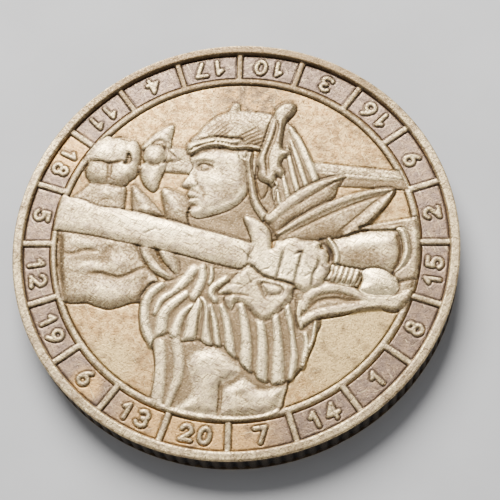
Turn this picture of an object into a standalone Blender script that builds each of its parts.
"""Challenge coin, forty millimetres across, struck on a planchet of three bonded layers.

Nodes: core (the middle layer), obverse_face and reverse_face (the struck outer layers).
The coin lies obverse up on the XY plane, with its origin at the centre of the lower rim
face, +Z up through the obverse, and +Y towards the top of the obverse design.
Everything is drawn and joined in millimetres, and each finished mesh is scaled to metres.
"""

import math

import bmesh
import bpy
from mathutils import Matrix, Vector

MM = 0.001

# Driving dimensions, in millimetres.
COIN_RADIUS = 20.0
COIN_THICKNESS = 3.0
RIM_WIDTH = 0.95
RIM_HEIGHT = 0.36
RIM_CORNER = 0.15
FACE_THICKNESS = 0.72
LAYER_GAP = 0.02

RING_OUTER_RADIUS = 16.60
RING_WIDTH = 0.64
RING_HEIGHT = 0.17
WALL_SLOPE_RUN = 0.10

CELL_COUNT = 20
BAR_WIDTH = 0.56
BAR_HEIGHT = 0.16

REED_COUNT = 120
REED_DEPTH = 0.14
REED_INSET = 0.02
REED_BAND_WIDTH = 0.55
REED_SEAT = 0.35
SHOULDER_WIDTH = 0.38

NUMERAL_HEIGHT = 0.13
NUMERAL_STROKE = 0.44
NUMERAL_SPACING = 1.62
NUMERAL_STEP = 7

PIP_RADIUS = 0.42
PIP_HEIGHT = 0.14

# How far an added solid is sunk into the floor that it stands on.
EMBED = 0.10
TURN_STEPS = 80
ARC_STEP_DEGREES = 30.0
OUTLINE_STEPS = 2

# Worked out from the driving dimensions.
RIM_INNER_RADIUS = COIN_RADIUS - RIM_WIDTH
RING_INNER_RADIUS = RING_OUTER_RADIUS - RING_WIDTH
NUMERAL_RADIUS = (RIM_INNER_RADIUS + RING_OUTER_RADIUS) / 2
SHOULDER_BOTTOM = COIN_THICKNESS - SHOULDER_WIDTH
FACE_BOTTOM = COIN_THICKNESS - FACE_THICKNESS
FLOOR = COIN_THICKNESS - RIM_HEIGHT
CELL_ANGLE = 2 * math.pi / CELL_COUNT

# Outlines of the obverse figure, in millimetres from the coin's centre, drawn through by a
# smooth closed curve. A point that is given twice in a row is a corner. Each entry is a
# name, the height above the floor, and the outline's points.
FIGURE = (
    ("shaft", 0.12, (
        (-7.0, 9.7), (-7.0, 9.7), (14.6, 6.95), (14.6, 6.95),
        (15.4, 5.15), (15.4, 5.15), (-7.0, 7.1), (-7.0, 7.1))),
    ("hair", 0.16, (
        (4.0, 12.2), (5.3, 11.35), (6.45, 8.9), (7.65, 6.15), (7.65, 6.15),
        (3.5, 3.25), (3.5, 3.25), (3.3, 6.0), (3.6, 9.0))),
    ("helmet_crown", 0.25, (
        (-4.1, 10.0), (-2.9, 11.95), (-1.0, 13.1), (-0.6, 13.8), (0.1, 13.95), (0.25, 13.25),
        (3.3, 12.7), (3.6, 12.0), (2.9, 9.3), (-0.5, 9.3))),
    ("head", 0.22, (
        (-3.9, 9.2), (-4.15, 8.2), (-3.85, 7.5), (-5.0, 5.75), (-4.25, 5.25), (-4.4, 4.7),
        (-4.15, 4.35), (-4.3, 4.0), (-4.1, 3.1), (-3.3, 2.35), (-0.6, 3.1), (1.0, 4.6),
        (1.3, 9.0), (1.3, 9.0))),
    ("brow_band", 0.30, (
        (-4.75, 9.5), (-4.1, 10.15), (-2.0, 10.55), (2.2, 9.7), (2.2, 9.7),
        (2.1, 9.05), (2.1, 9.05), (-0.6, 9.1), (-2.1, 9.35), (-3.9, 8.65))),
    ("cheek_strap", 0.24, (
        (0.3, 8.9), (1.0, 8.9), (1.45, 7.0), (2.1, 4.3), (3.1, 2.75), (2.2, 2.4),
        (1.3, 4.0), (1.0, 6.5))),
    ("wing", 0.33, (
        (3.2, 12.7), (3.85, 13.8), (5.1, 13.95), (5.15, 12.7), (4.35, 11.4), (4.25, 9.3),
        (4.9, 8.8), (4.25, 8.2), (4.4, 6.8), (3.7, 6.3), (3.3, 5.35), (2.1, 6.2),
        (1.8, 8.0), (2.6, 10.4))),
    ("upper_plume", 0.21, (
        (3.4, 3.2), (3.4, 3.2), (6.2, 5.4), (8.8, 6.5), (9.85, 6.4), (9.0, 4.7),
        (6.0, 2.7), (3.5, 0.6), (3.5, 0.6))),
    ("lower_plume", 0.27, (
        (3.65, 0.65), (3.65, 0.65), (6.5, 2.95), (10.5, 4.75), (14.3, 5.15), (13.2, 3.1),
        (11.7, 1.6), (11.7, 1.6), (9.0, 0.1), (5.0, 0.0), (5.0, 0.0))),
    ("upper_spike", 0.19, (
        (-8.8, 9.4), (-7.6, 11.0), (-5.85, 11.8), (-6.15, 9.4), (-7.2, 8.8))),
    ("hanging_leaf", 0.25, (
        (-8.9, 7.6), (-8.45, 5.8), (-7.5, 5.02), (-6.95, 6.1), (-6.5, 7.9), (-7.6, 8.4))),
    ("left_cuff", 0.18, (
        (-13.4, 6.1), (-13.4, 6.1), (-15.3, 4.6), (-15.3, 4.6), (-14.0, 3.9),
        (-10.0, 3.0), (-10.0, 3.0), (-10.0, 5.6), (-10.0, 5.6))),
    ("raised_fist", 0.34, (
        (-12.0, 10.8), (-9.6, 10.4), (-8.85, 9.0), (-9.2, 6.5), (-10.5, 5.55), (-13.3, 6.0),
        (-13.95, 7.4), (-13.3, 9.4))),
    ("near_leaf", 0.18, (
        (-9.5, 5.75), (-7.5, 4.1), (-6.3, 2.6), (-6.3, 2.6), (-9.3, 2.9), (-9.3, 2.9))),
    ("far_leaf", 0.20, (
        (-6.6, 5.45), (-4.3, 4.4), (-3.5, 1.4), (-3.5, 1.4), (-6.0, 2.2), (-6.0, 2.2))),
    ("upper_arm", 0.21, (
        (-15.8, 1.5), (-15.8, 1.5), (-15.7, -3.0), (-14.4, -5.75), (-11.0, -6.3),
        (-7.8, -5.4), (-6.8, -3.9), (-8.2, -1.0), (-8.2, -0.1), (-8.2, -0.1))),
    ("collar_leaf", 0.23, (
        (-8.6, -0.1), (-7.2, -2.85), (-5.2, -3.5), (-4.9, -1.9), (-5.0, -0.8))),
    ("tunic", 0.15, (
        (-5.0, -0.8), (-8.0, -5.2), (-8.15, -7.0), (-7.0, -9.6), (-6.75, -13.8), (-6.3, -14.9),
        (-6.3, -14.9), (-3.3, -16.1), (3.4, -16.1), (4.6, -15.2), (5.1, -13.0), (7.0, -10.0),
        (7.7, -7.2), (5.6, -4.4))),
    ("lower_sleeve", 0.22, (
        (8.1, -3.5), (11.3, -4.9), (14.6, -4.6), (15.0, -3.0), (15.9, -3.2), (15.9, -3.2),
        (14.8, -6.3), (13.0, -6.2), (10.0, -6.8), (6.2, -8.15), (5.6, -7.0), (5.5, -4.4))),
    ("sleeve_fold", 0.18, (
        (11.0, 1.4), (11.0, 1.4), (16.1, 2.4), (16.1, 2.4), (16.2, -3.0), (16.2, -3.0),
        (13.8, -2.8), (13.8, -2.8))),
    ("sleeve", 0.26, (
        (8.2, 0.1), (10.8, 0.9), (14.4, 1.15), (14.4, 1.15), (14.85, -1.0), (14.0, -3.0),
        (14.0, -3.0), (11.4, -2.8), (8.4, -2.2), (8.4, -2.2))),
    ("rolled_cuff", 0.32, (
        (14.4, 1.2), (15.15, 1.25), (15.7, -1.0), (14.0, -3.0), (14.0, -3.0), (14.85, -1.0))),
    ("sword_blade", 0.29, (
        (-15.7, 5.0), (-15.7, 5.0), (-13.0, 3.85), (-10.0, 3.3), (2.0, 0.1), (2.0, 0.1),
        (2.0, -2.9), (2.0, -2.9), (-5.0, -1.08), (-13.0, 0.75), (-16.4, 1.3), (-16.4, 1.3))),
    ("sword_grip", 0.31, (
        (8.0, -2.0), (8.0, -2.0), (11.6, -2.7), (11.6, -2.7),
        (11.4, -4.4), (11.4, -4.4), (8.0, -3.6), (8.0, -3.6))),
    ("pommel", 0.35, (
        (11.5, -2.75), (12.9, -2.6), (14.5, -3.9), (13.7, -5.2), (11.4, -4.95), (11.2, -4.0))),
    ("guard_and_hand", 0.34, (
        (1.45, 0.1), (0.8, 2.45), (2.9, 1.6), (3.45, -0.5), (3.45, -0.5), (4.9, 0.35),
        (7.6, 0.1), (8.5, -1.8), (8.0, -4.2), (6.3, -4.8), (5.3, -4.6), (4.4, -6.4),
        (2.7, -7.5), (1.2, -6.1), (-0.1, -6.3), (-0.6, -5.2), (-1.2, -4.8), (1.0, -2.3))),
)

# Raised strips on the tunic: upper and lower middle points, and upper and lower widths.
PLEAT_HEIGHT = 0.24
PLEATS = (
    ((-6.9, -4.3), (-7.3, -9.2), 0.8, 0.9),
    ((-5.0, -5.4), (-6.1, -8.5), 0.7, 0.7),
    ((-2.9, -5.5), (-3.7, -9.2), 0.4, 1.1),
    ((-2.1, -5.5), (-2.2, -9.6), 0.4, 1.0),
    ((-0.6, -6.6), (-0.2, -10.0), 0.4, 0.7),
    ((0.9, -6.9), (1.2, -11.6), 0.6, 0.8),
    ((2.5, -8.2), (2.6, -12.6), 0.6, 0.8),
    ((3.9, -7.8), (4.2, -12.9), 0.6, 1.0),
    ((5.4, -9.4), (5.4, -12.5), 0.5, 0.6),
    ((-6.1, -10.2), (-6.0, -14.4), 0.6, 0.7),
    ((-4.7, -10.2), (-4.7, -13.6), 0.7, 0.8),
    ((-2.1, -10.8), (-2.0, -15.0), 1.9, 1.4),
    ((1.6, -13.6), (1.8, -15.4), 2.6, 3.4),
)

# Knob between the fist and the face: centre, radius and height.
KNOB_CENTRE = (-7.6, 8.68)
KNOB_RADIUS = 1.1
KNOB_HEIGHT = 0.32

# The reverse carries a shield on two crossed swords.
SHIELD_HEIGHT = 0.30
SHIELD_OUTLINE = (
    (-5.2, 6.2), (-5.2, 6.2), (0.0, 7.0), (5.2, 6.2), (5.2, 6.2),
    (5.0, 0.5), (3.2, -4.2), (0.0, -7.4), (0.0, -7.4), (-3.2, -4.2), (-5.0, 0.5))
SWORD_HEIGHT = 0.20
SWORD_TILT_DEGREES = 40.0
SWORD_PARTS = (
    ((-0.7, -7.0), (0.7, 13.4)),
    ((-2.2, -8.0), (2.2, -7.1)),
    ((-0.45, -11.2), (0.45, -7.6)),
)
SWORD_POMMEL_OFFSET = -11.6
SWORD_POMMEL_RADIUS = 0.95

SILVER = (0.62, 0.58, 0.50, 1.0)
SILVER_ROUGHNESS = 0.45
BRASS = (0.46, 0.36, 0.21, 1.0)
BRASS_ROUGHNESS = 0.50


def clear_scene():
    """Remove the objects of the file that the script is run from."""
    for old in list(bpy.data.objects):
        bpy.data.objects.remove(old, do_unlink=True)


def new_collection(name):
    """Add an empty collection to the scene."""
    collection = bpy.data.collections.new(name)
    bpy.context.scene.collection.children.link(collection)
    return collection


def metal(name, colour, roughness):
    """A plain metal with its colour, roughness and metallic value."""
    material = bpy.data.materials.new(name)
    material.use_nodes = True
    shader = material.node_tree.nodes["Principled BSDF"]
    shader.inputs["Base Color"].default_value = colour
    shader.inputs["Roughness"].default_value = roughness
    shader.inputs["Metallic"].default_value = 1.0
    return material


def evaluated_mesh(source):
    """The source object's mesh with its modifiers or curve settings worked out."""
    depsgraph = bpy.context.evaluated_depsgraph_get()
    return bpy.data.meshes.new_from_object(source.evaluated_get(depsgraph))


def mesh_object(name, mesh, collection):
    """Wrap a mesh in an object of the given collection."""
    result = bpy.data.objects.new(name, mesh)
    collection.objects.link(result)
    return result


def mark_as_tool(tool):
    """Keep a solid that only shapes another one out of the finished model."""
    tool.hide_render = True
    tool.display_type = "WIRE"


def smooth_loop(points):
    """A closed curve through the points. A point given twice in a row is a corner."""
    corners = [Vector(point) for point in points]
    count = len(corners)
    loop = []
    for index in range(count):
        before, start, end, after = (corners[(index + shift) % count] for shift in (-1, 0, 1, 2))
        if start == end:
            continue
        for step in range(OUTLINE_STEPS):
            t = step / OUTLINE_STEPS
            blend = (start * 2 + (end - before) * t
                     + (before * 2 - start * 5 + end * 4 - after) * t ** 2
                     + (start * 3 - before - end * 3 + after) * t ** 3)
            loop.append(blend / 2)
    return loop


def circle_loop(centre, radius, count):
    """Evenly spaced points around a circle."""
    angles = [2 * math.pi * index / count for index in range(count)]
    return [Vector((centre[0] + radius * math.cos(a), centre[1] + radius * math.sin(a)))
            for a in angles]


def plate(name, loops, bottom, top, tools):
    """A flat outline, with its holes, extruded from bottom to top."""
    curve = bpy.data.curves.new(name, "CURVE")
    curve.dimensions = "2D"
    curve.fill_mode = "BOTH"
    curve.extrude = (top - bottom) / 2
    for loop in loops:
        spline = curve.splines.new("POLY")
        spline.points.add(len(loop) - 1)
        spline.use_cyclic_u = True
        for point, place in zip(spline.points, loop):
            point.co = (place[0], place[1], 0.0, 1.0)
    drawn = mesh_object(name + "_curve", curve, tools)
    mesh = evaluated_mesh(drawn)
    bpy.data.objects.remove(drawn, do_unlink=True)
    mesh.transform(Matrix.Translation((0.0, 0.0, (top + bottom) / 2)))
    shape = bmesh.new()
    shape.from_mesh(mesh)
    bmesh.ops.remove_doubles(shape, verts=shape.verts, dist=0.0001)
    bmesh.ops.recalc_face_normals(shape, faces=shape.faces)
    shape.to_mesh(mesh)
    shape.free()
    solid = mesh_object(name, mesh, tools)
    mark_as_tool(solid)
    return solid


def turned(name, profile, tools):
    """A profile of radius and height, from the top axis point down its outer side, turned."""
    mesh = bpy.data.meshes.new(name)
    places = [(radius, 0.0, height) for radius, height in profile]
    edges = [(index, index + 1) for index in range(len(places) - 1)]
    mesh.from_pydata(places, edges, [])
    drawn = mesh_object(name + "_profile", mesh, tools)
    screw = drawn.modifiers.new("Screw", "SCREW")
    screw.steps = TURN_STEPS
    screw.render_steps = TURN_STEPS
    screw.use_merge_vertices = True
    screw.merge_threshold = 0.0001
    solid = mesh_object(name, evaluated_mesh(drawn), tools)
    bpy.data.objects.remove(drawn, do_unlink=True)
    mark_as_tool(solid)
    return solid


def joined(name, body, additions, collection, tools):
    """One solid made of the body and everything added to it."""
    group = bpy.data.collections.new(name + "_additions")
    for addition in additions:
        group.objects.link(addition)
    union = body.modifiers.new("Union", "BOOLEAN")
    union.operation = "UNION"
    union.solver = "EXACT"
    union.use_self = True
    union.operand_type = "COLLECTION"
    union.collection = group
    result = mesh_object(name, evaluated_mesh(body), collection)
    for used in [body, *additions]:
        bpy.data.objects.remove(used, do_unlink=True)
    bpy.data.collections.remove(group)
    return result


def reed_loop():
    """The edge's outline: a crest and a root for each reed."""
    loop = []
    for index in range(2 * REED_COUNT):
        angle = math.pi * index / REED_COUNT
        radius = COIN_RADIUS - REED_INSET - REED_DEPTH * (index % 2)
        loop.append(Vector((radius * math.cos(angle), radius * math.sin(angle))))
    return loop


def face_profile():
    """Radii and heights of a face layer, from the middle of its floor out and round."""
    return (
        (0.0, FLOOR),
        (RING_INNER_RADIUS, FLOOR),
        (RING_INNER_RADIUS + WALL_SLOPE_RUN, FLOOR + RING_HEIGHT),
        (RING_OUTER_RADIUS - WALL_SLOPE_RUN, FLOOR + RING_HEIGHT),
        (RING_OUTER_RADIUS, FLOOR),
        (RIM_INNER_RADIUS, FLOOR),
        (RIM_INNER_RADIUS + WALL_SLOPE_RUN, COIN_THICKNESS),
        (COIN_RADIUS - RIM_CORNER, COIN_THICKNESS),
        (COIN_RADIUS, COIN_THICKNESS - RIM_CORNER),
        (COIN_RADIUS, SHOULDER_BOTTOM),
        (COIN_RADIUS - REED_SEAT, SHOULDER_BOTTOM),
        (COIN_RADIUS - REED_SEAT, FACE_BOTTOM),
        (0.0, FACE_BOTTOM),
    )


def reed_band(name, tools):
    """The reeded part of a face layer's edge, below its plain shoulder."""
    inner = circle_loop((0.0, 0.0), COIN_RADIUS - REED_BAND_WIDTH, TURN_STEPS)
    return plate(name, [reed_loop(), inner], FACE_BOTTOM, SHOULDER_BOTTOM + EMBED, tools)


def bars(tools):
    """The bars that divide the outer band into cells."""
    inner = RING_OUTER_RADIUS - 2 * WALL_SLOPE_RUN
    outer = RIM_INNER_RADIUS + 2 * WALL_SLOPE_RUN
    half = BAR_WIDTH / 2
    outline = [Vector(corner) for corner in (
        (inner, -half), (outer, -half), (outer, half), (inner, half))]
    made = []
    for cell in range(CELL_COUNT):
        turn = Matrix.Rotation(cell * CELL_ANGLE, 2)
        loop = [turn @ corner for corner in outline]
        made.append(plate(f"bar_{cell}", [loop], FLOOR - EMBED, FLOOR + BAR_HEIGHT, tools))
    return made


def arc(centre_x, centre_y, radius_x, radius_y, start, end):
    """Points along part of an ellipse, from one angle to another in degrees."""
    count = max(2, math.ceil(abs(end - start) / ARC_STEP_DEGREES))
    angles = [math.radians(start + (end - start) * index / count) for index in range(count + 1)]
    return [(centre_x + radius_x * math.cos(a), centre_y + radius_y * math.sin(a))
            for a in angles]


def digit_strokes(digit):
    """The middle lines of a digit's strokes, in millimetres, as open or closed paths."""
    if digit == 0:
        return [(arc(0.0, 0.0, 0.44, 0.65, 0, 360)[:-1], True)]
    if digit == 1:
        return [([(-0.30, 0.28), (0.08, 0.60), (0.08, -0.68)], False)]
    if digit == 2:
        return [(arc(0.0, 0.25, 0.42, 0.40, 165, -25) + [(-0.44, -0.62), (0.48, -0.62)], False)]
    if digit == 3:
        return [(arc(-0.04, 0.33, 0.40, 0.32, 150, -90), False),
                (arc(-0.04, -0.32, 0.46, 0.34, 95, -150), False)]
    if digit == 4:
        return [([(0.16, -0.68), (0.16, 0.60), (-0.46, -0.26), (0.50, -0.26)], False)]
    if digit == 5:
        return [([(0.42, 0.62), (-0.28, 0.62), (-0.32, 0.08)]
                 + arc(-0.02, -0.24, 0.44, 0.40, 95, -150), False)]
    if digit in (6, 9):
        tail = [(0.20, 0.66), (-0.16, 0.36), (-0.39, -0.08)]
        paths = [(arc(0.0, -0.26, 0.42, 0.39, 0, 360)[:-1], True), (tail, False)]
        if digit == 6:
            return paths
        return [([(-x, -y) for x, y in path], closed) for path, closed in paths]
    if digit == 7:
        return [([(-0.46, 0.60), (0.46, 0.60), (-0.10, -0.68)], False)]
    return [(arc(0.0, 0.34, 0.33, 0.30, 0, 360)[:-1], True),
            (arc(0.0, -0.31, 0.42, 0.36, 0, 360)[:-1], True)]


def stroke_loops(path, closed):
    """The outline, or outer and inner outline, of a stroke of the numerals' width."""
    points = [Vector(point) for point in path]
    count = len(points)
    sides = ([], [])
    for index, point in enumerate(points):
        before = points[index - 1] if index or closed else None
        after = points[(index + 1) % count] if index < count - 1 or closed else None
        arrive = (point - before).normalized() if before else (after - point).normalized()
        leave = (after - point).normalized() if after else arrive
        along = (arrive + leave).normalized()
        across = Vector((-along.y, along.x))
        reach = NUMERAL_STROKE / 2 / max(across.dot(Vector((-leave.y, leave.x))), 0.5)
        sides[0].append(point + across * reach)
        sides[1].append(point - across * reach)
    if closed:
        return [sides[0], sides[1]]
    return [sides[0] + sides[1][::-1]]


def numerals(tools):
    """The numbers of the cells, upright at the bottom, each the last plus seven."""
    made = []
    for cell in range(CELL_COUNT):
        middle = -math.pi / 2 + (cell - 0.5) * CELL_ANGLE
        number = (cell * NUMERAL_STEP) % CELL_COUNT or CELL_COUNT
        digits = [int(character) for character in str(number)]
        for place, digit in enumerate(digits):
            shift = (place - (len(digits) - 1) / 2) * NUMERAL_SPACING
            turn = Matrix.Rotation(middle + math.pi / 2, 2)
            spot = Vector((shift, -NUMERAL_RADIUS))
            for part, (path, closed) in enumerate(digit_strokes(digit)):
                loops = [[turn @ (spot + point) for point in loop]
                         for loop in stroke_loops(path, closed)]
                name = f"numeral_{number}_{place}_{part}"
                made.append(plate(name, loops, FLOOR - EMBED, FLOOR + NUMERAL_HEIGHT, tools))
    return made


def figure(tools):
    """The helmeted figure with a sword, as flat plates of stepped heights."""
    made = [plate(name, [smooth_loop(outline)], FLOOR - EMBED, FLOOR + height, tools)
            for name, height, outline in FIGURE]
    knob = circle_loop(KNOB_CENTRE, KNOB_RADIUS, 16)
    made.append(plate("knob", [knob], FLOOR - EMBED, FLOOR + KNOB_HEIGHT, tools))
    for index, (upper, lower, upper_width, lower_width) in enumerate(PLEATS):
        outline = (
            (upper[0] - upper_width / 2, upper[1]), (upper[0] + upper_width / 2, upper[1]),
            (lower[0] + lower_width / 2, lower[1]), (lower[0] - lower_width / 2, lower[1]))
        top = FLOOR + PLEAT_HEIGHT
        made.append(plate(f"pleat_{index}", [outline], FLOOR - EMBED, top, tools))
    return made


def crossed_sword(side, tools):
    """One of the two swords of the reverse, leaning to the given side."""
    turn = Matrix.Rotation(math.radians(side * SWORD_TILT_DEGREES), 2)
    top = FLOOR + SWORD_HEIGHT + side * 0.01
    made = []
    for index, (low, high) in enumerate(SWORD_PARTS):
        corners = ((low[0], low[1]), (high[0], low[1]), (high[0], high[1]), (low[0], high[1]))
        loop = [turn @ Vector(corner) for corner in corners]
        made.append(plate(f"sword_{side}_{index}", [loop], FLOOR - EMBED, top, tools))
    centre = turn @ Vector((0.0, SWORD_POMMEL_OFFSET))
    ball = circle_loop(centre, SWORD_POMMEL_RADIUS, 12)
    made.append(plate(f"sword_{side}_pommel", [ball], FLOOR - EMBED, top + 0.02, tools))
    return made


def pips(tools):
    """A round pip in the middle of each cell of the reverse."""
    made = []
    for cell in range(CELL_COUNT):
        angle = (cell + 0.5) * CELL_ANGLE
        centre = (NUMERAL_RADIUS * math.cos(angle), NUMERAL_RADIUS * math.sin(angle))
        loop = circle_loop(centre, PIP_RADIUS, 10)
        made.append(plate(f"pip_{cell}", [loop], FLOOR - EMBED, FLOOR + PIP_HEIGHT, tools))
    return made


def reverse_device(tools):
    """The shield and the two swords behind it."""
    shield = plate("shield", [smooth_loop(SHIELD_OUTLINE)],
                   FLOOR - EMBED, FLOOR + SHIELD_HEIGHT, tools)
    return [shield, *crossed_sword(-1, tools), *crossed_sword(1, tools)]


def face_layer(name, relief, collection, tools):
    """A struck outer layer, face up: floor, ring, rim, reeded edge and its relief."""
    body = turned(name + "_body", face_profile(), tools)
    additions = [reed_band(name + "_reeds", tools), *bars(tools), *relief]
    return joined(name, body, additions, collection, tools)


def turn_over(layer):
    """Turn a face-up layer about the X axis, so that it faces down at the coin's underside."""
    over = Matrix.Translation((0.0, 0.0, COIN_THICKNESS)) @ Matrix.Rotation(math.pi, 4, "X")
    layer.data.transform(over)


def core_layer(collection, tools):
    """The middle layer, between the two faces, with the same reeded edge."""
    bottom = FACE_THICKNESS + LAYER_GAP
    top = FACE_BOTTOM - LAYER_GAP
    disc = plate("core_disc", [reed_loop()], bottom, top, tools)
    core = mesh_object("core", disc.data.copy(), collection)
    bpy.data.objects.remove(disc, do_unlink=True)
    return core


def finish(node, material):
    """Scale a finished node to metres and give it its material and shading."""
    node.data.transform(Matrix.Scale(MM, 4))
    node.data.materials.clear()
    node.data.materials.append(material)
    node.data.shade_smooth()
    node.data.set_sharp_from_angle(angle=math.radians(30.0))


def build():
    """Make the coin's three layers."""
    clear_scene()
    coin = new_collection("challenge_coin")
    tools = new_collection("tools")
    obverse = face_layer("obverse_face", [*numerals(tools), *figure(tools)], coin, tools)
    reverse = face_layer("reverse_face", [*pips(tools), *reverse_device(tools)], coin, tools)
    turn_over(reverse)
    core = core_layer(coin, tools)
    finish(obverse, metal("antique_silver_obverse", SILVER, SILVER_ROUGHNESS))
    finish(reverse, metal("antique_silver_reverse", SILVER, SILVER_ROUGHNESS))
    finish(core, metal("brass_core", BRASS, BRASS_ROUGHNESS))


build()
